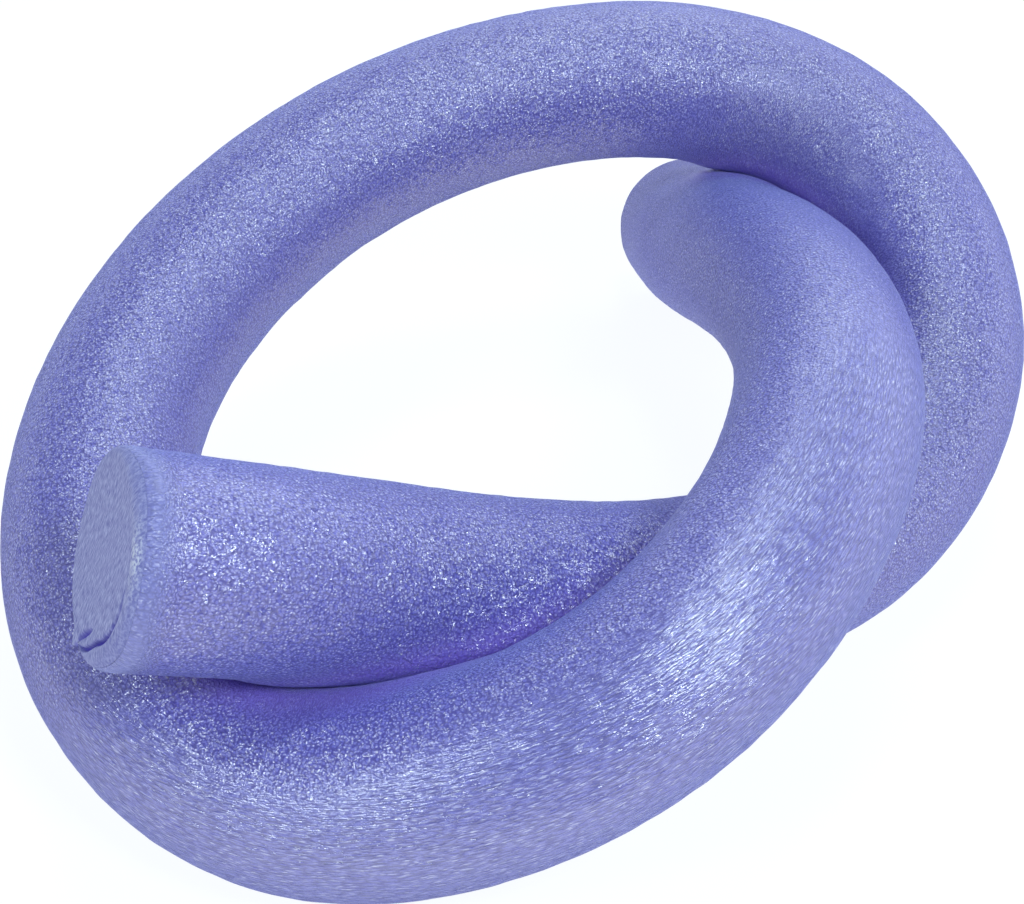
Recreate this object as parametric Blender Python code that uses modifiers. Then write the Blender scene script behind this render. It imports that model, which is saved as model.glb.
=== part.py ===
"""Pool noodle: a solid stick of polyethylene foam, tied in a loose overhand knot and laid on a floor.

Lengths are in metres and +Z is up. The floor is z = 0, and the origin is under the middle of the noodle's box.
The stick is extruded in one go: a light foam core inside a denser, glossy skin of the same foam. The knot
has two free ends: the cut end in front, which stands clear of the floor, and the far end, which rests on it.
"""

import bmesh
import bpy
import numpy as np
from mathutils import Matrix, Vector

# Sizes of the stick as it is sold
noodle_length = 1.600
noodle_diameter = 0.065
skin_thickness = 0.0005

# Clearance between the skin and the core, and the distance under which two points of a mesh are one
layer_gap = 0.0003
weld_distance = layer_gap / 30

# Where the noodle's own weight presses it flat on the floor: how deep that goes into the core, and in all
core_flat_depth = 0.0008
rest_flat_depth = skin_thickness + layer_gap + core_flat_depth
cutter_overrun = 0.020

# Fineness of the round surface: sides of the section, rings for each diameter of length, and curve samples
section_sides = 20
rings_per_diameter = 3.6
samples_between_points = 24
rim_angle = np.radians(50)

# Middle line of the knot in shares of the noodle's diameter, from the end that rests on the floor, under the
# top arc, down in front, along the bottom, up the left side, over the top, down the right side, and back under
# the front strand to the cut end. The points pull the line towards them, and it touches only the two ends.
route_shares = [
    (1.10, 3.14, 0.47),
    (1.11, 2.15, 0.84),
    (1.31, 1.14, 1.29),
    (1.51, 0.09, 1.57),
    (1.53, -0.92, 1.60),
    (1.16, -1.92, 1.42),
    (0.55, -2.60, 1.09),
    (-0.26, -2.87, 0.75),
    (-1.11, -2.79, 0.47),
    (-1.85, -2.37, 0.51),
    (-2.37, -1.58, 0.71),
    (-2.50, -0.55, 0.97),
    (-2.23, 0.49, 1.29),
    (-1.58, 1.36, 1.64),
    (-0.63, 1.96, 1.93),
    (0.45, 2.28, 2.05),
    (1.46, 2.36, 1.90),
    (2.15, 1.94, 1.62),
    (2.51, 1.13, 1.22),
    (2.40, 0.26, 0.76),
    (1.82, -0.54, 0.45),
    (1.04, -1.18, 0.54),
    (0.07, -1.64, 0.80),
    (-0.79, -1.95, 1.17),
    (-1.41, -2.35, 1.56),
    (-1.97, -2.56, 1.79),
]

# Two places count as neighbours on one strand when less than this many diameters of noodle lie between them
one_strand_share = 4.0


def clear_scene():
    """Removes whatever the new file holds."""
    for old in list(bpy.data.objects):
        bpy.data.objects.remove(old, do_unlink=True)


def make_collection(name):
    collection = bpy.data.collections.new(name)
    bpy.context.scene.collection.children.link(collection)
    return collection


def linear(hex_colour):
    """An sRGB hex colour as the linear red, green, blue and alpha that a shader takes."""
    parts = [int(hex_colour[i : i + 2], 16) / 255 for i in (1, 3, 5)]
    return [p / 12.92 if p <= 0.04045 else ((p + 0.055) / 1.055) ** 2.4 for p in parts] + [1.0]


def make_material(name, hex_colour, roughness):
    material = bpy.data.materials.new(name)
    material.use_nodes = True
    material.diffuse_color = linear(hex_colour)
    shader = material.node_tree.nodes["Principled BSDF"]
    shader.inputs["Base Color"].default_value = linear(hex_colour)
    shader.inputs["Roughness"].default_value = roughness
    shader.inputs["Metallic"].default_value = 0.0
    return material


def distances_along(line):
    """The distance from the line's first point to each of its points."""
    return np.concatenate([[0.0], np.cumsum(np.linalg.norm(np.diff(line, axis=0), axis=1))])


def smooth_line(points):
    """A uniform cubic B-spline: each stretch blends four neighbouring points, so the bend changes steadily.

    One point more is mirrored beyond each end, so that the line begins and ends on its points and runs
    straight there, as a free end does.
    """
    before = 2 * points[0] - points[1]
    beyond = 2 * points[-1] - points[-2]
    held = np.vstack([before, points, beyond])
    t = np.linspace(0, 1, samples_between_points, endpoint=False)[:, None, None]
    blends = ((1 - t) ** 3, 3 * t**3 - 6 * t**2 + 4, 1 + 3 * t + 3 * t**2 - 3 * t**3, t**3)
    stretches = len(held) - 3
    line = sum(blend * held[k : k + stretches] for k, blend in enumerate(blends)) / 6
    return np.vstack([line.transpose(1, 0, 2).reshape(-1, 3), points[-1]])


def cut_to_length(line, length):
    """The line from its resting end to the cut end, at even steps.

    A noodle that is longer than the line runs straight on past the line's end, and a shorter one stops early.
    """
    onward = line[-1] - line[-2]
    further = line[-1] + onward / np.linalg.norm(onward) * length
    line = np.vstack([line, further])
    rings = round(length / noodle_diameter * rings_per_diameter) + 1
    wanted = np.linspace(0, length, rings)
    along = distances_along(line)
    return np.column_stack([np.interp(wanted, along, line[:, k]) for k in range(3)])


def laid_on_floor(line, radius):
    """Moves the line so that the tube's box stands over the origin, pressed a little way into the floor.

    A round section reaches radius * sqrt(1 - d^2) along an axis, where d is the line's direction along it.
    """
    ahead = np.gradient(line, axis=0)
    ahead /= np.linalg.norm(ahead, axis=1, keepdims=True)
    reach = radius * np.sqrt(1 - ahead**2)
    low = (line - reach).min(axis=0)
    high = (line + reach).max(axis=0)
    middle = (low + high) / 2
    return line - (middle[0], middle[1], low[2] + rest_flat_depth)


def gap_to_itself(line, diameter):
    """The least clear distance between two strands of the knot, measured between points of the middle line."""
    along = distances_along(line)
    fine = np.linspace(0, along[-1], samples_between_points * len(line) // 2)
    dense = np.column_stack([np.interp(fine, along, line[:, k]) for k in range(3)])
    apart = np.linalg.norm(dense[:, None] - dense[None, :], axis=2)
    other_strand = np.abs(fine[:, None] - fine[None, :]) > one_strand_share * diameter
    return apart[other_strand].min() - diameter


def make_tube(name, line, radius, capped):
    """A round tube along the line: a poly curve with a bevel."""
    curve = bpy.data.curves.new(name, "CURVE")
    curve.dimensions = "3D"
    curve.bevel_depth = radius
    curve.bevel_resolution = (section_sides - 4) // 2
    curve.use_fill_caps = capped
    spline = curve.splines.new("POLY")
    spline.points.add(len(line) - 1)
    for point, place in zip(spline.points, line):
        point.co = (*place, 1.0)
    spline.use_smooth = True
    return bpy.data.objects.new(name, curve)


def make_floor_cutter(line, collection):
    """A block whose top is the floor: it takes the small flats that the noodle's own weight presses."""
    low, high = line.min(axis=0), line.max(axis=0)
    spare = noodle_diameter + cutter_overrun
    size = Vector((*(high - low)[:2] + 2 * spare, spare))
    centre = Vector((*(low + high)[:2] / 2, -spare / 2))
    block = bmesh.new()
    bmesh.ops.create_cube(block, size=1.0, matrix=Matrix.Translation(centre) @ Matrix.Diagonal((*size, 1.0)))
    mesh = bpy.data.meshes.new("floor_cutter")
    block.to_mesh(mesh)
    block.free()
    cutter = bpy.data.objects.new("floor_cutter", mesh)
    cutter.hide_render = True
    cutter.display_type = "WIRE"
    collection.objects.link(cutter)
    return cutter


def make_layer(name, line, radius, solid, material, collection):
    """One layer of the noodle as a mesh: a solid stick, or an open tube that still needs its wall."""
    tube = make_tube(name + "_tube", line, radius, capped=solid)
    collection.objects.link(tube)
    graph = bpy.context.evaluated_depsgraph_get()
    mesh = bpy.data.meshes.new_from_object(tube.evaluated_get(graph))
    mesh.name = name
    layer = bpy.data.objects.new(name, mesh)
    layer.matrix_world = tube.matrix_world
    collection.objects.link(layer)
    bpy.data.objects.remove(tube, do_unlink=True)

    welded = bmesh.new()
    welded.from_mesh(mesh)
    bmesh.ops.remove_doubles(welded, verts=welded.verts, dist=weld_distance)
    welded.to_mesh(mesh)
    welded.free()
    mesh.shade_smooth()
    mesh.set_sharp_from_angle(angle=rim_angle)
    mesh.materials.clear()
    mesh.materials.append(material)
    return layer


def press_flat(layer, floor_cutter):
    """Cuts the layer off at the floor."""
    flats = layer.modifiers.new("rest_flats", "BOOLEAN")
    flats.operation = "DIFFERENCE"
    flats.solver = "EXACT"
    flats.object = floor_cutter


def make_core(line, floor_cutter, collection):
    """The light foam inside: a round stick whose two sawn faces are the noodle's ends."""
    foam = make_material("cut_foam", "#8a95c8", 0.85)
    radius = noodle_diameter / 2 - skin_thickness - layer_gap
    core = make_layer("foam_core", line, radius, True, foam, collection)
    press_flat(core, floor_cutter)


def make_skin(line, floor_cutter, collection):
    """The denser outer layer: a tube that gets its wall inwards, open where the core's faces show."""
    glossy = make_material("glossy_foam_skin", "#6f78c4", 0.38)
    skin = make_layer("foam_skin", line, noodle_diameter / 2, False, glossy, collection)
    wall = skin.modifiers.new("wall", "SOLIDIFY")
    wall.thickness = skin_thickness
    wall.offset = -1.0
    press_flat(skin, floor_cutter)


def main():
    clear_scene()
    parts = make_collection("pool_noodle")
    cutters = make_collection("cutters")
    knot = smooth_line(np.array(route_shares) * noodle_diameter)
    line = laid_on_floor(cut_to_length(knot, noodle_length), noodle_diameter / 2)
    floor_cutter = make_floor_cutter(line, cutters)
    make_core(line, floor_cutter, parts)
    make_skin(line, floor_cutter, parts)

    gap = gap_to_itself(line, noodle_diameter)
    print(f"noodle: {distances_along(line)[-1]:.4f} m long in {len(line)} rings")
    print(f"least gap between two strands of the knot: {1000 * gap:.2f} mm")


main()
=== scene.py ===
# %% [markdown]
# # A foam pool noodle, tied in a knot
#
# A pool noodle is a stick of polyethylene foam. It leaves the extruder in one go: inside is a light foam
# core, and where the hot foam met the die its cells have closed into a thin, glossy skin. This one is
# solid, with no hole down its middle, and it has been tied in a loose overhand knot and laid on a floor.
#
# The lesson makes the route of the knot, the skin along it, the core with its sawn ends, the two finishes,
# and the studio round it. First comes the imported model, which is the frame that every piece has to fit.

# %% Load the frame
from functools import partial

import bpy
import numpy as np
from mathutils import Euler, Matrix, Vector


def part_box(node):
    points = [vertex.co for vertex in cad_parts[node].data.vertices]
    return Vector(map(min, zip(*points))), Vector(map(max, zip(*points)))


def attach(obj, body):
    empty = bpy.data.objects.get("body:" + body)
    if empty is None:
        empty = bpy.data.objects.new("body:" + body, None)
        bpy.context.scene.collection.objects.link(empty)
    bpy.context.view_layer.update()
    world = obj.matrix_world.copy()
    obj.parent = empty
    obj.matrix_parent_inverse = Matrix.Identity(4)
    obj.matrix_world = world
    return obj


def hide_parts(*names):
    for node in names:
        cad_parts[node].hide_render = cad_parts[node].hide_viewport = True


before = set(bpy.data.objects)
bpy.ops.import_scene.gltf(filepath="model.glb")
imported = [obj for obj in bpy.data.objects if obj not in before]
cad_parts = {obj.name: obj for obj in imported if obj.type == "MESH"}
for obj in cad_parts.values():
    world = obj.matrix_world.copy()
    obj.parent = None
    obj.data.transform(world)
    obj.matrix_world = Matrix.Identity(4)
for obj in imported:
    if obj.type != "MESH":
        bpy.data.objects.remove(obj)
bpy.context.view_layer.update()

print("nodes in the frame:", sorted(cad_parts))

# %% [markdown]
# ## Sizes
#
# All lengths are in metres. The noodle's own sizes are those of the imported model, because a finish has to
# sit on the shape that was packed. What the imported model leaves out, such as how the sawn rims are rounded
# and how uneven the foam came out of the die, gets its sizes where it is made.

# %% Sizes of the noodle
mm = 0.001
noodle_length = 1600 * mm
noodle_diameter = 65 * mm
noodle_radius = noodle_diameter / 2
skin_thickness = 0.5 * mm
layer_gap = 0.3 * mm
core_flat_depth = 0.8 * mm
rest_flat_depth = skin_thickness + layer_gap + core_flat_depth
print("the noodle is", round(noodle_length / noodle_diameter, 1), "diameters long")

# %% [markdown]
# ## Camera
#
# A camera is easier to set by its own sizes than by eye. A fit to the noodle's outlines gave these: it stood
# about 70 cm away, above the front of the knot, and looked down at 35 degrees through a lens a little
# longer than normal. It leaned by one degree, which the last turn repeats.

# %% Set up the camera
camera_place = Vector((-0.0131, -0.5735, 0.4402))
camera_down = np.radians(35.08)
camera_turn = np.radians(-0.087)
camera_roll = np.radians(0.986)
camera_lens_mm = 63.58
camera_sensor_mm = 36.0

camera_data = bpy.data.cameras.new("studio_camera")
camera_data.lens = camera_lens_mm
camera_data.sensor_width = camera_sensor_mm
camera = bpy.data.objects.new("studio_camera", camera_data)
bpy.context.scene.collection.objects.link(camera)
looking_down = Euler((np.pi / 2 - camera_down, 0, camera_turn)).to_matrix()
leaning = Matrix.Rotation(camera_roll, 3, "Z")
camera.matrix_world = Matrix.Translation(camera_place) @ (looking_down @ leaning).to_4x4()
bpy.context.scene.camera = camera
print("camera height in mm:", round(1000 * camera_place.z))

# %% [markdown]
# ## Route of the knot
#
# The knot is one line in space. Its points are a short list in diameters of the noodle, so that the knot
# would grow with a thicker noodle. They weren't chosen by hand: fitting programs matched a round tube to
# the noodle's outlines in the photograph and rounded its points to hundredths. A cubic B-spline turns them
# into a line whose bend changes steadily, as foam bends. A chain of arcs would look like bent pipe.

# %% Points of the route
route_shares = [
    (1.10, 3.14, 0.47), (1.11, 2.15, 0.84), (1.31, 1.14, 1.29), (1.51, 0.09, 1.57), (1.53, -0.92, 1.60),
    (1.16, -1.92, 1.42), (0.55, -2.60, 1.09), (-0.26, -2.87, 0.75), (-1.11, -2.79, 0.47),
    (-1.85, -2.37, 0.51), (-2.37, -1.58, 0.71), (-2.50, -0.55, 0.97), (-2.23, 0.49, 1.29),
    (-1.58, 1.36, 1.64), (-0.63, 1.96, 1.93), (0.45, 2.28, 2.05), (1.46, 2.36, 1.90),
    (2.15, 1.94, 1.62), (2.51, 1.13, 1.22), (2.40, 0.26, 0.76), (1.82, -0.54, 0.45),
    (1.04, -1.18, 0.54), (0.07, -1.64, 0.80), (-0.79, -1.95, 1.17), (-1.41, -2.35, 1.56),
    (-1.97, -2.56, 1.79),
]
samples_between_points = 24
rings_per_diameter = 3.6
print("route points:", len(route_shares))


# %% From points to a line
def smooth_line(points):
    """A uniform cubic B-spline through space.

    Each stretch blends four neighbouring points with the weights (1-t)^3, 3t^3-6t^2+4, 1+3t+3t^2-3t^3
    and t^3, all divided by 6. One point more is mirrored beyond each end, so that the line begins and ends
    on its points.
    """
    before = 2 * points[0] - points[1]
    beyond = 2 * points[-1] - points[-2]
    held = np.vstack([before, points, beyond])
    t = np.linspace(0, 1, samples_between_points, endpoint=False)[:, None, None]
    blends = ((1 - t) ** 3, 3 * t**3 - 6 * t**2 + 4, 1 + 3 * t + 3 * t**2 - 3 * t**3, t**3)
    stretches = len(held) - 3
    line = sum(blend * held[k : k + stretches] for k, blend in enumerate(blends)) / 6
    return np.vstack([line.transpose(1, 0, 2).reshape(-1, 3), points[-1]])


def distances_along(line):
    """The distance from the line's first point to each of its points: the running sum of its steps."""
    return np.concatenate([[0.0], np.cumsum(np.linalg.norm(np.diff(line, axis=0), axis=1))])


def at_distances(line, wanted):
    """The points of the line at the wanted distances, read off between its own points."""
    along = distances_along(line)
    return np.column_stack([np.interp(wanted, along, line[:, axis]) for axis in range(3)])


knot = smooth_line(np.array(route_shares) * noodle_diameter)
onward = knot[-1] - knot[-2]
knot = np.vstack([knot, knot[-1] + onward / np.linalg.norm(onward) * noodle_length])
print("line without its spare end, mm:", round(1000 * (distances_along(knot)[-1] - noodle_length)))


# %% [markdown]
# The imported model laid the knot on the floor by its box, worked out on the model's own coarse rings. The
# same sum is repeated here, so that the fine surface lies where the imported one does.

# %% Lay the line on the floor
def box_of_tube(line, radius):
    """The lowest and highest corner of a round tube along the line.

    A section reaches radius * sqrt(1 - d^2) along an axis, where d is the line's direction along that axis.
    """
    ahead = np.gradient(line, axis=0)
    ahead /= np.linalg.norm(ahead, axis=1, keepdims=True)
    reach = radius * np.sqrt(1 - ahead**2)
    return (line - reach).min(axis=0), (line + reach).max(axis=0)


packed_rings = round(noodle_length / noodle_diameter * rings_per_diameter) + 1
packed_line = at_distances(knot, np.linspace(0, noodle_length, packed_rings))
low, high = box_of_tube(packed_line, noodle_radius)
to_floor = np.array([(low[0] + high[0]) / 2, (low[1] + high[1]) / 2, low[2] + rest_flat_depth])
knot = knot - to_floor
skin_low, skin_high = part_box("foam_skin")
packed_size = np.array(skin_high - skin_low)
print("tube and packed skin, mm:", np.round(1000 * np.array([high - low, packed_size]), 1))

# %% [markdown]
# ## A section that travels along the line
#
# A tube is a circle carried along a line. The circle needs two directions of its own at each place: one to
# the side, level with the floor, and one over the top. Taking the side square to both the line and the
# vertical keeps the circle from spinning, and it works here because the noodle never stands on end.

# %% Directions of the section
def section_frame(distance):
    """Place, direction ahead, side and over of the section at each distance along the knot.

    Ahead is the line's direction, side is ahead x up, made one unit long, and over is side x ahead.
    """
    step = noodle_diameter / 8
    place = at_distances(knot, distance)
    ahead = at_distances(knot, distance + step) - at_distances(knot, distance - step)
    ahead /= np.linalg.norm(ahead, axis=1, keepdims=True)
    side = np.cross(ahead, (0.0, 0.0, 1.0))
    side /= np.linalg.norm(side, axis=1, keepdims=True)
    over = np.cross(side, ahead)
    return place, ahead, side, over


def around(angle, side, over):
    """Directions outwards at each angle: cos(angle) * side + sin(angle) * over, for every ring."""
    return np.cos(angle)[None, :, None] * side[:, None] + np.sin(angle)[None, :, None] * over[:, None]


trial_ahead = section_frame(np.linspace(0, noodle_length, 9))[1]
print("slope of the line, degrees:", np.round(np.degrees(np.arcsin(trial_ahead[:, 2]))))

# %% [markdown]
# ## How the foam swells and where it was sawn
#
# Foam is never quite round. As it leaves the die it swells a little more here and a little less there,
# which gives the noodle's outline its slight wobble. Random heights on a lattice do this: few, wide bumps
# for the wobble and many small ones for the lumps of the skin, each wrapped round the girth so that no seam
# shows.

# %% Uneven foam
sections_round = 104
ring_step = 2.0 * mm
skin_angle = np.linspace(-np.pi / 2, 1.5 * np.pi, sections_round, endpoint=False)


def smooth_step(value, first, last):
    """0 before the first value, 1 after the last, and 3t^2 - 2t^3 in between."""
    t = np.clip((value - first) / (last - first), 0, 1)
    return t**2 * (3 - 2 * t)


def lattice_heights(distance, angle, spacing, seed):
    """Random heights between -1 and 1 at the corners of a lattice, blended by smooth steps.

    They are blended round the girth on two rows of the lattice, and then between the rows.
    """
    rows = round(noodle_length / spacing) + 2
    columns = round(2 * np.pi * noodle_radius / spacing)
    heights = np.random.default_rng(seed).uniform(-1, 1, (rows, columns))
    row = np.clip(distance / noodle_length, 0, 1) * (rows - 2)
    column = (angle / (2 * np.pi)) % 1.0 * columns
    row_below, column_below = np.floor(row).astype(int), np.floor(column).astype(int) % columns
    column_above = (column_below + 1) % columns
    row_blend, column_blend = smooth_step(row % 1, 0, 1), smooth_step(column % 1, 0, 1)
    near, far = [heights[k, column_below] * (1 - column_blend) + heights[k, column_above] * column_blend
                 for k in (row_below, row_below + 1)]
    return near * (1 - row_blend) + far * row_blend


wobbles = [(48 * mm, 0.28 * mm, 3), (13 * mm, 0.12 * mm, 5), (4.6 * mm, 0.14 * mm, 8)]
end_swell = 0.5 * mm
end_swell_reach = 26 * mm


def uneven_foam(distance, angle):
    """How far the surface stands off the plain round noodle: the sum of the wobbles."""
    return sum(height * lattice_heights(distance, angle, spacing, seed) for spacing, height, seed in wobbles)


def end_swelling(distance):
    """A slight swelling towards the sawn ends, height * exp(-(distance to the end / reach)^2)."""
    to_end = np.minimum(distance, noodle_length - distance)
    return end_swell * np.exp(-((to_end / end_swell_reach) ** 2))


sample_height = uneven_foam(np.linspace(0, noodle_length, 900)[:, None], skin_angle[None, :])
print("wobble from", round(1000 * sample_height.min(), 2), "to", round(1000 * sample_height.max(), 2), "mm")

# %% [markdown]
# The strands of a knot press on each other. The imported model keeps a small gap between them, because it is
# rigid, but soft foam closes that gap: it bulges beside the place where it is pressed, until the strands
# meet. Here each strand swells by half of the clear distance to its neighbour where that is small, so that
# they touch, and the wobble dies away where they press.

# %% Foam that presses on foam
one_strand = 4 * noodle_diameter
press_overlap = 0.12 * mm
press_reach = 6.0 * mm
strand_step = 3 * mm
ring_blocks = 40
far_away_squared = 1.0


def clear_of_strands(points, distance):
    """The clear distance from each point to the other strands: to their middle line, less the radius.

    Places less than four diameters apart along the noodle count as one strand. The squares of the distances
    come from |p - q|^2 = |p|^2 - 2 p.q + |q|^2, a block of rings at a time.
    """
    other_distance = np.arange(0, noodle_length, strand_step)
    others = at_distances(knot, other_distance)
    clear = []
    blocks = [np.array_split(rings, ring_blocks) for rings in (points, distance)]
    for ring_points, ring_distance in zip(*blocks):
        squared = (ring_points**2).sum(axis=-1)[..., None] - 2 * ring_points @ others.T
        squared = squared + (others**2).sum(axis=1)
        same = np.abs(ring_distance[:, None] - other_distance[None, :]) < one_strand
        squared = np.where(same[:, None, :], far_away_squared, squared)
        clear.append(np.sqrt(squared.min(axis=-1)) - noodle_radius)
    return np.concatenate(clear)


def pressed_radius(distance, angle):
    """The noodle's radius at each ring and angle, with its wobble, its swollen ends and its pressed places.

    Nearness is exp(-(clear distance / reach)^3), and the bulge is half of the clear distance times it.
    """
    place, _, side, over = section_frame(distance)
    clear = clear_of_strands(place[:, None] + noodle_radius * around(angle, side, over), distance)
    nearness = np.exp(-((np.maximum(clear, 0) / press_reach) ** 3))
    bulge = (clear + press_overlap) / 2 * nearness
    wobble = uneven_foam(distance[:, None], angle[None, :]) * (1 - nearness)
    return noodle_radius + wobble + end_swelling(distance)[:, None] + bulge


sample_distance = np.linspace(60 * mm, noodle_length - 60 * mm, 200)
sample_radius = pressed_radius(sample_distance, skin_angle)
print("radius from", round(1000 * sample_radius.min(), 2), "to", round(1000 * sample_radius.max(), 2), "mm")

# %% [markdown]
# A saw leaves a flat face, but soft foam gives way at its rim, so the rim is rounded, and not alike all
# round: widest at the top and along the lower lip, tighter elsewhere. Each rim is a quarter circle whose
# radius depends on the angle round the section. The skin follows it part of the way, and the sawn core goes
# on from there.

# %% Rounded rims of the two ends
skin_rim_turn = np.radians(38)
end_zone = 14 * mm


def hump(angle, middle, width):
    """A smooth hump of height 1: exp(-(turn / width)^2), where turn is the angle from its middle."""
    turn = (angle - middle + np.pi) % (2 * np.pi) - np.pi
    return np.exp(-((turn / width) ** 2))


# The least radius of each rim, and its humps: height in mm, then middle and width in degrees. The cut rim's
# humps are its top, its right side, its lower lip and its left side.
far_rim = (3.0, [(0.8, 90, 80)])
cut_rim = (2.2, [(2.6, 93, 24), (3.6, 132, 50), (5.6, 212, 34), (1.6, 350, 26)])


def rim_radius(at_cut_end, angle):
    """The rim's radius at each angle: its least radius plus its humps."""
    least, humps = cut_rim if at_cut_end else far_rim
    return least * mm + sum(height * mm * hump(angle, np.radians(middle), np.radians(width))
                            for height, middle, width in humps)


rim_samples = rim_radius(True, np.radians([90, 212]))
print("cut rim's radius at the top and the lip, mm:", np.round(1000 * rim_samples, 1))


# %% Points of a tube and of its ends
def tube_points(distance, angle, radius):
    """A ring at each distance: place + radius * outwards."""
    place, _, side, over = section_frame(distance)
    return place[:, None] + radius[:, :, None] * around(angle, side, over)


def end_points(at_cut_end, angle, inset, radius):
    """Rings near one end: each point has its own inset from the plane of the end's face, and its radius."""
    end = noodle_length if at_cut_end else 0.0
    place, ahead, side, over = section_frame(np.array([end]))
    inwards = -ahead if at_cut_end else ahead
    return place + inset[:, :, None] * inwards + radius[:, :, None] * around(angle, side, over)


def end_radius(distance, angle):
    """The radius in the end zone, where no other strand is near: the plain radius, wobble and swelling."""
    return noodle_radius + uneven_foam(distance, angle) + end_swelling(distance)


def rim_inset_radius(at_cut_end, angle, turn, depth=0.0):
    """Inset and radius on the rounded rim, a quarter circle of radius q, for each turn and angle.

    Inset is q(1 - sin turn) and radius is r - q(1 - cos turn). A depth moves both into the foam.
    """
    q = rim_radius(at_cut_end, angle)[None, :]
    end = noodle_length if at_cut_end else 0.0
    r = end_radius(np.array([[end]]), angle[None, :])
    sine, cosine = np.sin(turn)[:, None], np.cos(turn)[:, None]
    return q * (1 - sine) + depth * sine, r - q * (1 - cosine) - depth * cosine


def rim_rows(at_cut_end, angle, turn, depth=0.0):
    """Rings on the rounded rim, one for each turn of the quarter circle."""
    return end_points(at_cut_end, angle, *rim_inset_radius(at_cut_end, angle, turn, depth))


def straight_rows(at_cut_end, angle, share, depth=0.0):
    """Rings between the end zone (share 0) and the start of the rounded rim (share 1)."""
    q = rim_radius(at_cut_end, angle)[None, :]
    inset = end_zone + (q - end_zone) * share[:, None]
    distance = noodle_length - inset if at_cut_end else inset
    return end_points(at_cut_end, angle, inset, end_radius(distance, angle[None, :]) - depth)


print("rim points, first and last height in mm:",
      np.round(1000 * rim_rows(True, skin_angle, np.radians([0.0, 90.0]))[:, 0, 2], 1))

# %% [markdown]
# ## From grids to meshes
#
# Both pieces are grids of rings. The skin's rings close on themselves, from the outside round the rim to
# the inside and back, like a long, thin-walled ring doughnut. The core's rings end in one point at the
# middle of each face. Every quad gets its corners in the order that turns its front outwards, and its
# corners' flat coordinates, in metres, go into a UV map: how far along the noodle, and how far round it.

# %% Turn rings into a mesh
def ring_quads(rows, columns, wrap_rows):
    """Corner indices of the quads between neighbouring rings, in the order that faces outwards."""
    row = np.arange(rows if wrap_rows else rows - 1)[:, None]
    column = np.arange(columns)[None, :]
    next_row, next_column = (row + 1) % rows, (column + 1) % columns
    corners = [(row, column), (next_row, column), (next_row, next_column), (row, next_column)]
    index = [np.broadcast_to(r * columns + c, (len(row), columns)) for r, c in corners]
    return np.stack(index, axis=-1).reshape(-1, 4)


def make_mesh(name, points, faces, face_sizes, corner_uv, attributes):
    """A mesh from arrays: points, corner indices, each face's corner count, corner UVs and attributes."""
    mesh = bpy.data.meshes.new(name)
    mesh.vertices.add(len(points))
    mesh.vertices.foreach_set("co", points.astype(np.float32).ravel())
    mesh.loops.add(len(faces))
    mesh.loops.foreach_set("vertex_index", faces.astype(np.int32))
    mesh.polygons.add(len(face_sizes))
    starts = np.concatenate([[0], np.cumsum(face_sizes)[:-1]]).astype(np.int32)
    mesh.polygons.foreach_set("loop_start", starts)
    mesh.update(calc_edges=True)
    uv_map = mesh.uv_layers.new(name="foam_uv")
    uv_map.uv.foreach_set("vector", corner_uv.astype(np.float32).ravel())
    for attribute_name, values in attributes.items():
        attribute = mesh.attributes.new(attribute_name, "FLOAT", "POINT")
        attribute.data.foreach_set("value", values.astype(np.float32))
    mesh.validate()
    mesh.shade_smooth()
    piece = bpy.data.objects.new(name, mesh)
    bpy.context.scene.collection.objects.link(piece)
    return piece


print("quads in one ring of the skin:", sections_round)

# %% [markdown]
# ## The skin
#
# The skin is what the eye sees of a noodle: half a millimetre of denser foam. Where the noodle bends, the
# skin on the outside is stretched and its cells are drawn out lengthwise, and on the inside they are
# crowded together. The finish needs to know which is which, so each point carries its strain: by what share
# the skin there is longer than the middle line. It also carries how near another strand is, and the cut.

# %% Rings of the skin
floor_height = 0.0
rim_turns_out = np.linspace(0, skin_rim_turn, 6)
zone_shares = np.linspace(0, 1, 8)
body_steps = round((noodle_length - 2 * end_zone) / ring_step)
body_distance = np.linspace(end_zone, noodle_length - end_zone, body_steps + 1)[1:-1]
inner_distance = body_distance[::-10]
zone_from_end = np.linspace(end_zone, 3 * mm, len(zone_shares))
rim_from_end = np.linspace(2.5 * mm, 0.5 * mm, len(rim_turns_out) - 1)
under_from_end = np.array([1, 3, 7, 14]) * mm


def outer_rows(angle):
    """The skin's outside from the far rim to the cut rim, with the distance along the noodle of each ring."""
    rows = [
        rim_rows(False, angle, rim_turns_out[:0:-1]),
        straight_rows(False, angle, zone_shares[::-1]),
        tube_points(body_distance, angle, pressed_radius(body_distance, angle)),
        straight_rows(True, angle, zone_shares),
        rim_rows(True, angle, rim_turns_out[1:]),
    ]
    far_end = [rim_from_end[::-1], zone_from_end[::-1]]
    cut_end = [noodle_length - zone_from_end, noodle_length - rim_from_end]
    return np.concatenate(rows), np.concatenate([*far_end, body_distance, *cut_end])


def under_rows(angle, depth):
    """Rings at a depth under the skin's outside, from the cut rim to the far rim, and their distances."""
    few_turns, few_shares = np.array([skin_rim_turn, 0.0]), np.array([0.6, 0.0])
    rows = [
        rim_rows(True, angle, few_turns, depth),
        straight_rows(True, angle, few_shares, depth),
        tube_points(inner_distance, angle, pressed_radius(inner_distance, angle) - depth),
        straight_rows(False, angle, few_shares[::-1], depth),
        rim_rows(False, angle, few_turns[::-1], depth),
    ]
    distance = [noodle_length - under_from_end, inner_distance, under_from_end[::-1]]
    return np.concatenate(rows), np.concatenate(distance)


print("rings on the outside of the skin:", len(body_distance) + 2 * len([*zone_from_end, *rim_from_end]))


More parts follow.
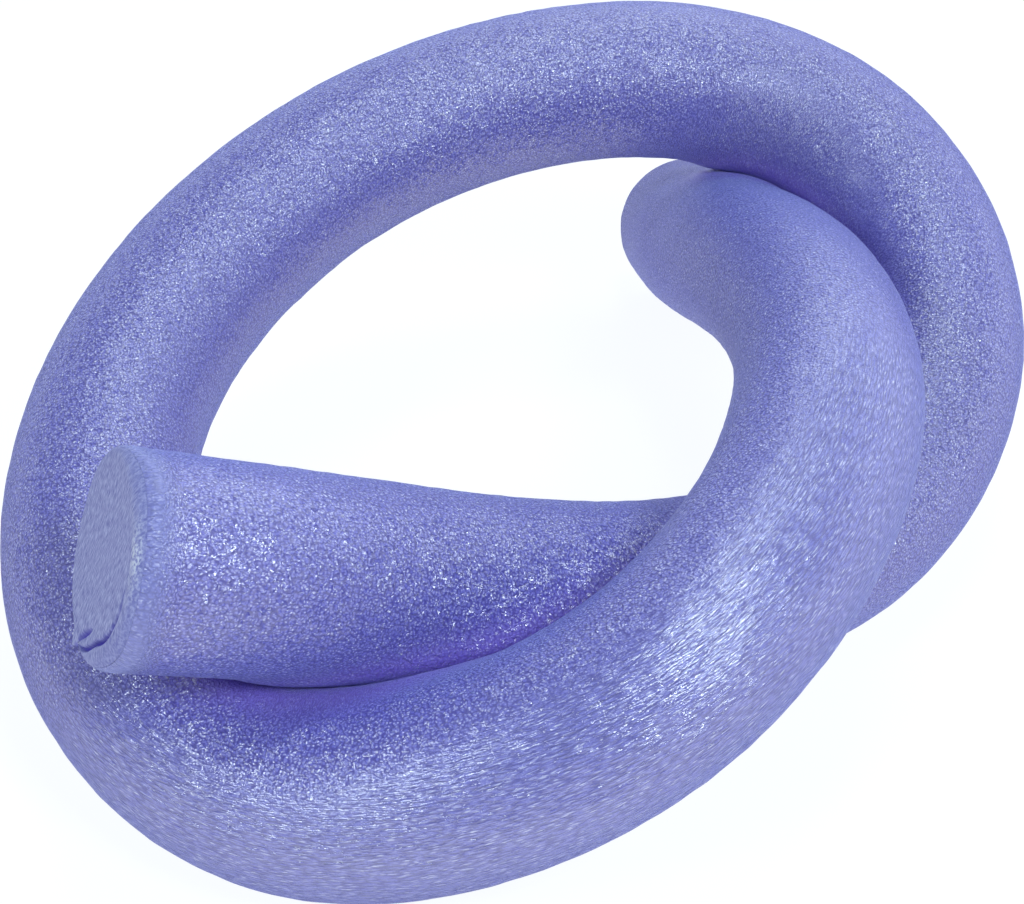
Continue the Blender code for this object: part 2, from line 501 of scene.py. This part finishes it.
# %% Strain of the skin
def strain_of(distance, angle):
    """The skin's stretch for each ring and angle: -radius * (outward direction . bend).

    The bend is the change of the direction ahead for each metre, a vector to the inside of the curve.
    """
    reach = noodle_diameter / 4
    before, after = [section_frame(np.clip(distance + way, 0, noodle_length))[1] for way in (-reach, reach)]
    bend = (after - before) / (2 * reach)
    _, _, side, over = section_frame(distance)
    along_side, along_over = (bend * side).sum(axis=1)[:, None], (bend * over).sum(axis=1)[:, None]
    return -noodle_radius * (along_side * np.cos(angle) + along_over * np.sin(angle))


hardest_bend = np.array([310, 550]) * mm
bend_fade = 60 * mm
drawn_elsewhere = 0.1


def showing_strain(distance, angle):
    """The strain as the skin shows it: the cells stay drawn out only on the front bend, pulled hardest."""
    strain = strain_of(distance, angle)
    first, last = hardest_bend
    hardest = smooth_step(distance, first - bend_fade, first)
    hardest = hardest * (1 - smooth_step(distance, last, last + bend_fade))
    drawn = strain * (drawn_elsewhere + (1 - drawn_elsewhere) * hardest[:, None])
    return np.where(strain > 0, drawn, strain)


strain = strain_of(body_distance, skin_angle)
print("strain from", round(strain.min(), 2), "to", round(strain.max(), 2))

# %% Marks and UV map of the skin
glow_reach = 9 * mm
rubbed_from, rubbed_to = 13 * mm, 2 * mm
sharp_from = np.radians(50)


def closeness(points, distance):
    """1 where another strand touches the skin, falling off as exp(-(clear distance / reach)^2)."""
    return np.exp(-((np.maximum(clear_of_strands(points, distance), 0) / glow_reach) ** 2))


def girth_uv(distance, columns):
    """UV of each quad's corners, in metres: the distance along the noodle, and angle * radius round it."""
    here, ahead = distance[:, None], np.roll(distance, -1)[:, None]
    girth = np.arange(columns + 1) * (2 * np.pi * noodle_radius / columns)
    u = np.stack([here, ahead, ahead, here], axis=-1)
    v = np.stack([girth[:-1], girth[:-1], girth[1:], girth[1:]], axis=-1)
    return np.stack(np.broadcast_arrays(u, v), axis=-1).reshape(-1, 2)


print("girth in mm:", round(2000 * np.pi * noodle_radius, 1))

# %% Build the skin
outside, outside_distance = outer_rows(skin_angle)
inside, inside_distance = under_rows(skin_angle, skin_thickness)
outside[..., 2] = np.maximum(outside[..., 2], floor_height)
inside[..., 2] = np.maximum(inside[..., 2], floor_height + skin_thickness)
skin_points = np.concatenate([outside, inside])
skin_distance = np.concatenate([outside_distance, inside_distance])
skin_faces = ring_quads(len(skin_points), sections_round, wrap_rows=True)
near_cut = smooth_step(noodle_length - skin_distance, rubbed_from, rubbed_to)
noodle_skin = make_mesh(
    "noodle_skin",
    skin_points.reshape(-1, 3),
    skin_faces.ravel(),
    np.full(len(skin_faces), 4),
    girth_uv(skin_distance, sections_round),
    {
        "skin_strain": showing_strain(skin_distance, skin_angle).ravel(),
        "near_strand": closeness(skin_points, skin_distance).ravel(),
        "near_cut": np.repeat(near_cut, sections_round),
    },
)
noodle_skin.data.set_sharp_from_angle(angle=sharp_from)
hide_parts("foam_skin")
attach(noodle_skin, "root")
print("skin triangles:", 2 * len(skin_faces))

# %% [markdown]
# ## The core and its sawn ends
#
# The core is the light foam inside, and all that shows of it is the two faces. The far end's face is plain.
# The cut end has a story: low on the side that faces the front, the foam has torn along the rim and left a
# curved crevice, with a rounded lip outside it. A second, shorter crack opens to the left, and a little
# tongue of foam stands out between the two. Foam tears so where the saw leaves it hanging by a last strip.

# %% Relief of the cut face
core_sections = 312
core_angle = np.linspace(-np.pi / 2, 1.5 * np.pi, core_sections, endpoint=False)
face_hollow = 0.5 * mm
crevice_opening, crevice_turning, crevice_closing = np.radians([(160, 186), (231, 273), (253, 277)])
crevice_radius, crevice_exit_radius = 24.6 * mm, 31.5 * mm
crevice_half_width, crevice_depth, crevice_least_share = 0.70 * mm, 2.8 * mm, 0.35
crack_start = np.array([-8.6, -19.5]) * mm
crack_end = np.array([3.6, -33.2]) * mm
crack_half_width, crack_depth, crack_least_share, crack_fullness = 0.85 * mm, 2.4 * mm, 0.25, 0.7
tongue_angle, tongue_width, tongue_reach = np.radians(276), np.radians(4.5), 4.4 * mm
tongue_root, tongue_spring = 8, 0.2


def crevice(radius, angle):
    """Depth of the curved crevice: a groove whose middle line swings out to the rim at its lower end.

    Its section is depth * exp(-(distance from its middle / half width)^2), and both fade out at its two ends.
    """
    outwards = smooth_step(angle, *crevice_turning)
    middle = crevice_radius + (crevice_exit_radius - crevice_radius) * outwards
    opening = smooth_step(angle, *crevice_opening) * (1 - smooth_step(angle, *crevice_closing))
    width = crevice_half_width * (crevice_least_share + (1 - crevice_least_share) * opening)
    return crevice_depth * opening * np.exp(-(((radius - middle) / width) ** 2))


def crack(radius, angle):
    """Depth of the short crack: a straight groove in the face's flat coordinates, widest at its middle."""
    across, up = radius * np.cos(angle), radius * np.sin(angle)
    line = crack_end - crack_start
    length = np.hypot(*line)
    share = ((across - crack_start[0]) * line[0] + (up - crack_start[1]) * line[1]) / length**2
    off = ((across - crack_start[0]) * line[1] - (up - crack_start[1]) * line[0]) / length
    body = np.sin(np.pi * np.clip(share, 0, 1)) ** crack_fullness
    width = crack_half_width * (crack_least_share + (1 - crack_least_share) * body)
    return crack_depth * body * np.exp(-((off / width) ** 2))


def relief(radius, angle):
    """How deep the cut face lies below its plane: both cracks, each where it is the deeper one."""
    angle = angle % (2 * np.pi)
    return np.maximum(crevice(radius, angle), crack(radius, angle))


print("depth in the crevice, mm:", round(1000 * float(relief(crevice_radius, np.radians(205))), 2))


# %% Rings of the core
def tongue(angle, share):
    """The tongue's reach past the rim, for each angle, drawn in with the ring's share of the face."""
    return tongue_reach * hump(angle, tongue_angle, tongue_width)[None, :] * share[:, None] ** tongue_root


def core_rim_rows(at_cut_end, turn):
    """The sawn part of the rim, past where the skin ends, with the cracks cut into it."""
    inset, radius = rim_inset_radius(at_cut_end, core_angle, turn)
    if at_cut_end:
        inset = inset + relief(radius, core_angle[None, :])
        past_skin = smooth_step(turn, turn.min(), turn.max())
        radius = radius + tongue(core_angle, past_skin**tongue_spring)
    return end_points(at_cut_end, core_angle, inset, radius)


def face_rows(at_cut_end, share):
    """Rings on a face, from the rim (share 1) to the middle: each ring is the rim's inner edge, drawn in."""
    _, edge = rim_inset_radius(at_cut_end, core_angle, np.array([np.pi / 2]))
    radius = edge * share[:, None]
    inset = np.broadcast_to(face_hollow * (1 - share[:, None] ** 2), radius.shape)
    if at_cut_end:
        inset = inset + relief(radius, core_angle[None, :])
        radius = radius + tongue(core_angle, share)
    return end_points(at_cut_end, core_angle, inset, radius)


core_depth = skin_thickness + 0.05 * mm
skin_runs_out = np.radians([52, 88])
rim_turns_core = np.linspace(skin_rim_turn + np.radians(1), np.pi / 2, 22)
face_shares = np.concatenate([np.linspace(1, 0.66, 34), np.linspace(0.62, 0.06, 11)])
far_face_shares = np.linspace(1, 0.08, 14)
under, _ = under_rows(core_angle, core_depth)
towards_skin = 1 - smooth_step(rim_turns_core, *skin_runs_out)
rows_and_nearness = [
    (face_rows(False, far_face_shares[::-1]), 0.0),
    (core_rim_rows(False, rim_turns_core[-2::-1]), towards_skin[-2::-1]),
    (under[::-1], 1.0),
    (core_rim_rows(True, rim_turns_core[:-1]), towards_skin[:-1]),
    (face_rows(True, face_shares), 0.0),
]
core_points = np.concatenate([block for block, _ in rows_and_nearness])
near_skin = np.concatenate([np.broadcast_to(nearness, len(block)) for block, nearness in rows_and_nearness])
core_points[..., 2] = np.maximum(core_points[..., 2], floor_height + core_depth)
print("rings of the core:", len(core_points))

# %% [markdown]
# The sawn foam is matt and the skin is not, but the saw pulls a little skin over the rim, so the one runs
# into the other. Each point of the core carries how near it is to the skin, and the finish blends by it.
# The middle of each face is one point, joined to the last ring by a fan of triangles.

# %% Faces of the core
rows = len(core_points)
core_quads = ring_quads(rows, core_sections, wrap_rows=False)
column = np.arange(core_sections)
next_column = (column + 1) % core_sections
last_ring = (rows - 1) * core_sections
far_centre = np.full(core_sections, rows * core_sections)
far_fan = np.column_stack([far_centre, column, next_column])
cut_fan = np.column_stack([far_centre + 1, last_ring + next_column, last_ring + column])
core_corners = np.concatenate([core_quads.ravel(), far_fan.ravel(), cut_fan.ravel()])
centres = [core_points[0].mean(axis=0), core_points[-1].mean(axis=0)]
all_points = np.vstack([core_points.reshape(-1, 3), *centres])
print("core triangles:", 2 * len(core_quads) + 2 * core_sections)

# %% Torn places and the pale rim band
pale_band_most, pale_band_angle, pale_band_width = 0.6, np.radians(144), np.radians(17)
pale_band_rim_turns, pale_band_face_shares = np.radians([40, 62]), (0.90, 1.0)


def cut_end_attribute(rim_values, face_values):
    """A value for every point of the core: 0, but on the cut end's rim and face the given rows."""
    last_rows = np.vstack([rim_values, face_values])
    values = np.zeros((rows, core_sections))
    values[-len(last_rows) :] = last_rows
    return np.append(values.ravel(), [0.0, 0.0])


rim_tears = relief(rim_inset_radius(True, core_angle, rim_turns_core[:-1])[1], core_angle[None, :])
face_edge = rim_inset_radius(True, core_angle, np.array([np.pi / 2]))[1]
face_tears = relief(face_edge * face_shares[:, None], core_angle[None, :])
torn = cut_end_attribute(*[np.clip(tears / crack_depth, 0, 1) for tears in (rim_tears, face_tears)])
pale_band_round = pale_band_most * hump(core_angle, pale_band_angle, pale_band_width)
rim_pale_band = smooth_step(rim_turns_core[:-1], *pale_band_rim_turns)[:, None] * pale_band_round
face_pale_band = smooth_step(face_shares, *pale_band_face_shares)[:, None] * pale_band_round
pale_rim_band = cut_end_attribute(rim_pale_band, face_pale_band)
print("torn points:", int((torn > 0.5).sum()), "frayed points:", int((pale_rim_band > 0.3).sum()))


# %% Build the core
def section_uv(points, at_cut_end):
    """UV in metres for a sawn face: each point's place along its end's side and over directions."""
    place, _, side, over = section_frame(np.array([noodle_length if at_cut_end else 0.0]))
    return np.column_stack([(points - place) @ side[0], (points - place) @ over[0]])


nearer_cut_end = np.arange(len(all_points)) >= len(all_points) // 2
nearer_cut_end[-2:] = False, True
core_uv = np.where(nearer_cut_end[:, None], section_uv(all_points, True), section_uv(all_points, False))
noodle_core = make_mesh(
    "noodle_core",
    all_points,
    core_corners,
    np.concatenate([np.full(len(core_quads), 4), np.full(2 * core_sections, 3)]),
    core_uv[core_corners],
    {"near_skin": np.append(np.repeat(near_skin, core_sections), [0.0, 0.0]), "torn": torn, "pale_rim_band": pale_rim_band},
)
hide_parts("foam_core")
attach(noodle_core, "root")
print("points of the core:", len(all_points))

# %% [markdown]
# ## Finishes
#
# Colours are written as sRGB hex values, the way a web page gives them, and shaders want linear light, so
# one function converts them. A second function adds a node with its settings and its links in one call, and
# a third lays one colour over another, as a painter glazes.

# %% Helpers for materials
def linear(hex_colour):
    """An sRGB hex colour as linear red, green, blue and alpha."""
    parts = [int(hex_colour[i : i + 2], 16) / 255 for i in (1, 3, 5)]
    return [p / 12.92 if p <= 0.04045 else ((p + 0.055) / 1.055) ** 2.4 for p in parts] + [1.0]


def add_node(tree, kind, inputs=None, **settings):
    """Adds a node, gives it its settings, and sets each input to a value or links it to a socket."""
    node = tree.nodes.new("ShaderNode" + kind)
    for setting, value in settings.items():
        setattr(node, setting, value)
    for name, value in (inputs or {}).items():
        if isinstance(value, bpy.types.NodeSocket):
            tree.links.new(value, node.inputs[name])
        else:
            node.inputs[name].default_value = value
    return node


def new_material(name):
    """A material without nodes, and the function that adds nodes to it."""
    material = bpy.data.materials.new(name)
    material.use_nodes = True
    material.node_tree.nodes.clear()
    return material, partial(add_node, material.node_tree)


def painted(add, ground, layers):
    """A ground colour with layers over it: each layer is its share, from 0 to 1, and its colour."""
    colour = ground
    for share, layer in layers:
        colour = add("Mix", {"Factor": share, "A": colour, "B": layer}, data_type="RGBA").outputs["Result"]
    return colour


print("foam blue in linear light:", [round(c, 3) for c in linear("#5a5ac2")])

# %% [markdown]
# ### Closed-cell polyethylene foam, as extruded
#
# The real surface is a thin, glossy film of polyethylene over closed cells about a millimetre wide. Each
# cell lifts the film into a low dome, tilted its own way, so from afar the skin looks like satin, and from
# near every dome that mirrors a lamp is a spark. On the outside of a bend the cells are pulled into long
# streaks, and on the inside they are squeezed into fine cross wrinkles. Voronoi cells on the UV map give
# all three: the distance to a cell's middle is the dome and places the painted shade between domes, and the
# cell's random colour tilts it and picks the domes that get a painted glint.

# %% Cells of the foam
cell_size = 0.95 * mm
waver_in_cells = 1.6
drawn_from, drawn_to = -0.02, 0.14
crowded_from, crowded_to = -0.10, -0.28
smooth = {"interpolation_type": "SMOOTHSTEP"}

skin_material, add = new_material("extruded_polyethylene_foam_skin")
foam_uv = add("UVMap", uv_map="foam_uv").outputs["UV"]
strain_value = add("Attribute", attribute_name="skin_strain").outputs["Fac"]
drawn_out, crowded = [
    add("MapRange", {"Value": strain_value, "From Min": low, "From Max": high}, **smooth).outputs["Result"]
    for low, high in ((drawn_from, drawn_to), (crowded_from, crowded_to))]


def cell_pattern(length, width):
    """Cells of this length along and width round on the UV map, on places that waver a little."""
    scale = (1 / length, 1 / width, 1.0)
    place = add("Mapping", {"Vector": foam_uv, "Scale": scale}).outputs["Vector"]
    waver = add("TexNoise", {"Vector": place, "Scale": 0.5, "Detail": 1.0}).outputs["Color"]
    bent = add("VectorMath", {0: waver, 1: (waver_in_cells, waver_in_cells, 0.0), 2: place},
               operation="MULTIPLY_ADD").outputs["Vector"]
    return add("TexVoronoi", {"Vector": bent, "Scale": 1.0}, voronoi_dimensions="2D").outputs


even, drawn, squeezed = [cell_pattern(length * cell_size, width * cell_size)
                         for length, width in ((1.1, 1.0), (3.2, 0.66), (0.6, 1.3))]
cell_colour, from_middle = [painted(add, even[name], [(drawn_out, drawn[name]), (crowded, squeezed[name])])
                            for name in ("Color", "Distance")]
print("three patterns of cells of", round(1000 * cell_size, 2), "mm")

# %% [markdown]
# The cell's random red and green, stretched to run from -1 to 1, are how it leans. The lean is multiplied
# by its own size, so that most cells lie nearly flat and a few are steep, and where the cells are drawn out
# it gets less, above all along the noodle. A normal map takes the leans as a colour, in which a flat cell is
# the pale blue (0.5, 0.5, 1).

# %% Leaning cells
cell_tilt = 0.41
lean_even, lean_drawn = (0.5, 0.5, 0.0, 1.0), (0.14, 0.36, 0.0, 1.0)

lean = add("VectorMath", {0: cell_colour, 1: (2.0, 2.0, 0.0), 2: (-1.0, -1.0, 0.0)},
           operation="MULTIPLY_ADD").outputs["Vector"]
lean_size = add("VectorMath", {0: lean}, operation="LENGTH").outputs["Value"]
steep_few = add("VectorMath", {0: lean, "Scale": lean_size}, operation="SCALE").outputs["Vector"]
lean_kept = painted(add, lean_even, [(drawn_out, lean_drawn)])
tilt = add("VectorMath", {0: steep_few, 1: lean_kept, 2: (0.5, 0.5, 1.0)},
           operation="MULTIPLY_ADD").outputs["Vector"]
tilted = add("NormalMap", {"Color": tilt, "Strength": cell_tilt}, uv_map="foam_uv").outputs["Normal"]
print("nodes for the cells:", len(skin_material.node_tree.nodes))

# %% [markdown]
# The dome of a cell is -d^2, where d is the distance to its middle, with a fine grain added. The film on
# top is the shader's coat, which takes the tilted domes, and the foam under it takes the domes alone.
#
# The colour follows the cells: painted shade darkens the creases between the domes, and painted glints make
# the tops of some domes pale. Slow clouds vary the blue, because the dye isn't spread quite evenly. Where the
# skin is drawn out, the painted shade and glints are both a little weaker, because the cells lie flatter
# there.

# %% Domes and colour of the cells
dome_height, grain_share_of_dome = 0.22 * mm, 0.75
grains_per_mm, cloud_width = 1.7, 18 * mm
glint_rarity, drawn_contrast = 3.5, 0.8

dip = add("Math", {0: from_middle, 1: 2.0}, operation="POWER").outputs["Value"]
fine_place = add("Mapping", {"Vector": foam_uv, "Scale": (1 / mm, 1 / mm, 1.0)}).outputs["Vector"]
fine_grain = add("TexNoise", {"Vector": fine_place, "Scale": grains_per_mm, "Detail": 2.0}).outputs["Fac"]
relief_height = add("Math", {0: fine_grain, 1: -grain_share_of_dome, 2: dip},
                    operation="MULTIPLY_ADD").outputs["Value"]
foam_normal = add("Bump", {"Height": relief_height, "Distance": 2 * dome_height},
                  invert=True).outputs["Normal"]
film_normal = add("Bump", {"Height": relief_height, "Distance": dome_height, "Normal": tilted},
                  invert=True).outputs["Normal"]

cloud_place = add("TexCoord").outputs["Object"]
cloud = add("TexNoise", {"Vector": cloud_place, "Scale": 1 / cloud_width, "Detail": 4.0}).outputs["Fac"]
grain_share = add("MapRange", {"Value": fine_grain, "From Min": 0.38, "From Max": 0.62,
                               "To Max": 0.5}).outputs["Result"]
contrast = add("MapRange", {"Value": drawn_out, "To Min": 1.0, "To Max": drawn_contrast}).outputs["Result"]
glint_pick = add("SeparateXYZ", {"Vector": cell_colour}).outputs["Z"]
# Painted glints: a few domes are made pale at their tops, a sparkle painted into the colour.
glint_cells = add("Math", {0: glint_pick, 1: glint_rarity}, operation="POWER").outputs["Value"]
dome_top = add("MapRange", {"Value": from_middle, "From Min": 0.10, "From Max": 0.36, "To Min": 1.0,
                            "To Max": 0.1}, **smooth).outputs["Result"]
glint_tops = add("Math", {0: glint_cells, 1: dome_top}, operation="MULTIPLY").outputs["Value"]
painted_glint_share = add("Math", {0: glint_tops, 1: contrast}, operation="MULTIPLY").outputs["Value"]
# Painted shade: the creases between the domes are darkened in the colour.
between = add("MapRange", {"Value": from_middle, "From Min": 0.22, "From Max": 0.58, "To Max": 0.85},
              **smooth).outputs["Result"]
painted_crease_shade = add("Math", {0: between, 1: contrast}, operation="MULTIPLY").outputs["Value"]
# The pale dome tops and the dark creases in this colour are painted light and shade; the clouds and grain are
# the dye's own unevenness.
foam_colour = painted(add, linear("#5a5ac2"), [
    (cloud, linear("#6867ce")),
    (grain_share, linear("#8988db")),
    (painted_glint_share, linear("#d4d6f4")),
    (painted_crease_shade, linear("#3c3599")),
])
print("nodes with the colour:", len(skin_material.node_tree.nodes))

# %% [markdown]
# Three slow changes lie over that. Polyethylene turns whitish where it is pulled, so the front bend is
# paler. Foam is translucent, and the light that leaks out where two strands touch is violet. Subsurface
# scattering would give that too, but it blurs the fine cells, so the colour does it here. And near the cut
# the saw has rubbed the film dull.
#
# At a glancing look the domes hide each other's bright spots, so the coat gets weaker there. The foam under
# it scatters light and has only a dull gloss, and its countless rounded cells give the outline a pale rim,
# which is the shader's sheen. The coat's index of refraction is above polyethylene's 1.5, because several
# thin cell walls lie behind each other and all mirror.

# %% Pulled skin, painted violet glow where strands press, and rubbed skin
pulled_pale, painted_glow_most, rubbed_dull = 0.08, 0.65, 0.65

near_strand = add("Attribute", attribute_name="near_strand").outputs["Fac"]
near_cut = add("Attribute", attribute_name="near_cut").outputs["Fac"]
pulled_share, painted_glow_share, rubbed_share = [
    add("Math", {0: place, 1: most}, operation="MULTIPLY").outputs["Value"]
    for place, most in ((drawn_out, pulled_pale), (near_strand, painted_glow_most), (near_cut, rubbed_dull))]
# The violet near other strands is painted glow: light leaking out of the translucent foam, painted into the
# colour.
foam_colour = painted(add, foam_colour, [
    (pulled_share, linear("#b9bfdc")),
    (painted_glow_share, linear("#8c6fdc")),
    (rubbed_share, linear("#858ac6")),
])
glancing = add("LayerWeight", {"Blend": 0.5}).outputs["Facing"]
film_seen = add("MapRange", {"Value": glancing, "From Min": 0.25, "From Max": 0.80,
                             "To Min": 1.0, "To Max": 0.0}).outputs["Result"]
unrubbed = add("Math", {0: 1.0, 1: rubbed_share}, operation="SUBTRACT").outputs["Value"]
film_weight = add("Math", {0: film_seen, 1: unrubbed}, operation="MULTIPLY").outputs["Value"]
foam_shader = add("BsdfPrincipled", {
    "Base Color": foam_colour, "Roughness": 0.45, "Specular IOR Level": 0.3, "Normal": foam_normal,
    "Coat Weight": film_weight, "Coat Roughness": 0.13, "Coat IOR": 2.2, "Coat Normal": film_normal,
    "Sheen Weight": 0.45, "Sheen Roughness": 0.35, "Sheen Tint": linear("#b2c4ff"),
}).outputs["BSDF"]
add("OutputMaterial", {"Surface": foam_shader})
noodle_skin.data.materials.append(skin_material)
print("nodes in the skin's material:", len(skin_material.node_tree.nodes))

# %% [markdown]
# ### Sawn foam
#
# A saw opens the cells, so the cut face has no film and no gloss. It is paler and greyer than the skin,
# because the torn cell walls scatter light in all directions, and the teeth leave fine streaks that run
# across it. The lip round it is speckled like the skin, and a speckled band on part of the rim is painted
# nearly white. The torn crevice is painted a deeper blue, as painted shade where the light doesn't reach.

# %% Cut foam material
saw_streak_width = 0.6 * mm
saw_streak_length = 3.0 * mm
specks_per_mm = 1.1
lip_most = 0.75

cut_material, add = new_material("sawn_polyethylene_foam")
face_uv = add("UVMap", uv_map="foam_uv").outputs["UV"]
near_skin_value, torn_crevice_shade, pale_rim_band_value = [
    add("Attribute", attribute_name=name).outputs["Fac"] for name in ("near_skin", "torn", "pale_rim_band")]
streak_scale = (1 / saw_streak_width, 1 / saw_streak_length, 1.0)
streak_place = add("Mapping", {"Vector": face_uv, "Scale": streak_scale}).outputs["Vector"]
streaks = add("TexNoise", {"Vector": streak_place, "Scale": 1.0, "Detail": 3.0}).outputs["Fac"]
streak_share = add("MapRange", {"Value": streaks, "From Min": 0.32, "From Max": 0.68}).outputs["Result"]
speck_place = add("TexCoord").outputs["Object"]
specks = add("TexNoise", {"Vector": speck_place, "Scale": specks_per_mm / mm, "Detail": 2.0}).outputs["Fac"]
speck_share = add("MapRange", {"Value": specks, "From Min": 0.42, "From Max": 0.62}).outputs["Result"]
lip_colour = painted(add, linear("#6e71b4"), [(speck_share, linear("#9296cc"))])
lip_share = add("Math", {0: near_skin_value, 1: lip_most}, operation="MULTIPLY").outputs["Value"]
# A speckled, nearly white band painted on part of the cut rim.
pale_rim_band_share = add("Math", {0: speck_share, 1: pale_rim_band_value}, operation="MULTIPLY").outputs["Value"]
# The deeper blue in the torn crevice is painted shade.
cut_colour = painted(add, linear("#6568b0"), [
    (streak_share, linear("#adb1de")),
    (lip_share, lip_colour),
    (pale_rim_band_share, linear("#dfe6f2")),
    (torn_crevice_shade, linear("#5546c4")),
])
rough_height = add("Math", {0: specks, 1: 0.8, 2: streaks}, operation="MULTIPLY_ADD").outputs["Value"]
cut_bump = add("Bump", {"Height": rough_height, "Distance": 0.5 * mm}).outputs["Normal"]
cut_shader = add("BsdfPrincipled", {
    "Base Color": cut_colour, "Roughness": 0.8, "IOR": 1.5, "Normal": cut_bump,
}).outputs["BSDF"]
add("OutputMaterial", {"Surface": cut_shader})
noodle_core.data.materials.append(cut_material)
print("nodes in the cut foam's material:", len(cut_material.node_tree.nodes))

# %% [markdown]
# ## Studio
#
# The noodle lies on a table of white acrylic that is lit from below, as photographers use for goods on
# white: it leaves almost no shadow, and it lightens the undersides. The room is brightest low behind the
# noodle and dim in front, so that the noodle's front keeps its depth.

# %% Floor and room
floor_size = 12.0
floor_drop = 0.1 * mm
floor_grey = (0.15, 0.15, 0.15, 1.0)
table_glow = 0.93
room_bright_side = (0.36, 0.64, -0.80)
room_dim, room_bright = 0.28, 1.9

floor_material, add = new_material("lit_white_acrylic")
acrylic = add("BsdfDiffuse", {"Color": floor_grey}).outputs["BSDF"]
glow = add("Emission", {"Color": linear("#fafdff"), "Strength": table_glow}).outputs["Emission"]
lit_acrylic = add("AddShader", {0: acrylic, 1: glow}).outputs["Shader"]
add("OutputMaterial", {"Surface": lit_acrylic})
corners = floor_size / 2 * np.array([(-1, -1, 0), (1, -1, 0), (1, 1, 0), (-1, 1, 0)])
floor_mesh = bpy.data.meshes.new("studio_floor")
floor_mesh.from_pydata((corners - (0, 0, floor_drop)).tolist(), [], [(0, 1, 2, 3)])
floor_mesh.materials.append(floor_material)
studio_floor = bpy.data.objects.new("studio_floor", floor_mesh)
bpy.context.scene.collection.objects.link(studio_floor)

world = bpy.data.worlds.new("studio_room")
world.use_nodes = True
add = partial(add_node, world.node_tree)
background = world.node_tree.nodes["Background"]
direction = add("TexCoord").outputs["Generated"]
bright_side = add("VectorMath", {0: direction, 1: room_bright_side},
                  operation="DOT_PRODUCT").outputs["Value"]
room_light = add("MapRange", {"Value": bright_side, "From Min": -0.35, "From Max": 0.55,
                              "To Min": room_dim, "To Max": room_bright}, **smooth).outputs["Result"]
world.node_tree.links.new(room_light, background.inputs["Strength"])
background.inputs["Color"].default_value = linear("#ecf6ff")
bpy.context.scene.world = world
bpy.context.scene.view_settings.view_transform = "Standard"
print("floor side in m:", floor_size)

# %% [markdown]
# Two soft lamps stand in front, one on each side of the camera, a third hangs overhead, and a weak one
# stands behind the noodle and lights its rear edges. A lamp is placed by where it stands round the noodle,
# how high, and how far. Its power follows from its brightness, because a square lamp of side a and
# brightness L gives pi * L * a^2 watts.

# %% Lamps
knot_middle = Vector((0.0, 0.0, 80 * mm))
lamp_tint = linear("#efffff")[:3]


def add_lamp(name, turn, height, distance, side, brightness):
    """A square area lamp: turn is its bearing from behind the noodle, height its elevation, in degrees."""
    turn, height = np.radians(turn), np.radians(height)
    away = Vector((np.sin(turn) * np.cos(height), np.cos(turn) * np.cos(height), np.sin(height)))
    data = bpy.data.lights.new(name, "AREA")
    data.shape = "SQUARE"
    data.size = side
    data.energy = np.pi * brightness * side**2
    data.color = lamp_tint
    lamp = bpy.data.objects.new(name, data)
    facing = away.to_track_quat("Z", "Y").to_matrix().to_4x4()
    lamp.matrix_world = Matrix.Translation(knot_middle + distance * away) @ facing
    bpy.context.scene.collection.objects.link(lamp)


add_lamp("right_front_softbox", turn=144, height=45, distance=1.6, side=0.38, brightness=22.5)
add_lamp("left_front_softbox", turn=222, height=35, distance=1.6, side=0.38, brightness=15.0)
add_lamp("overhead_softbox", turn=30, height=80, distance=1.8, side=0.50, brightness=9.5)
add_lamp("background_softbox", turn=10, height=38, distance=1.8, side=0.60, brightness=2.5)
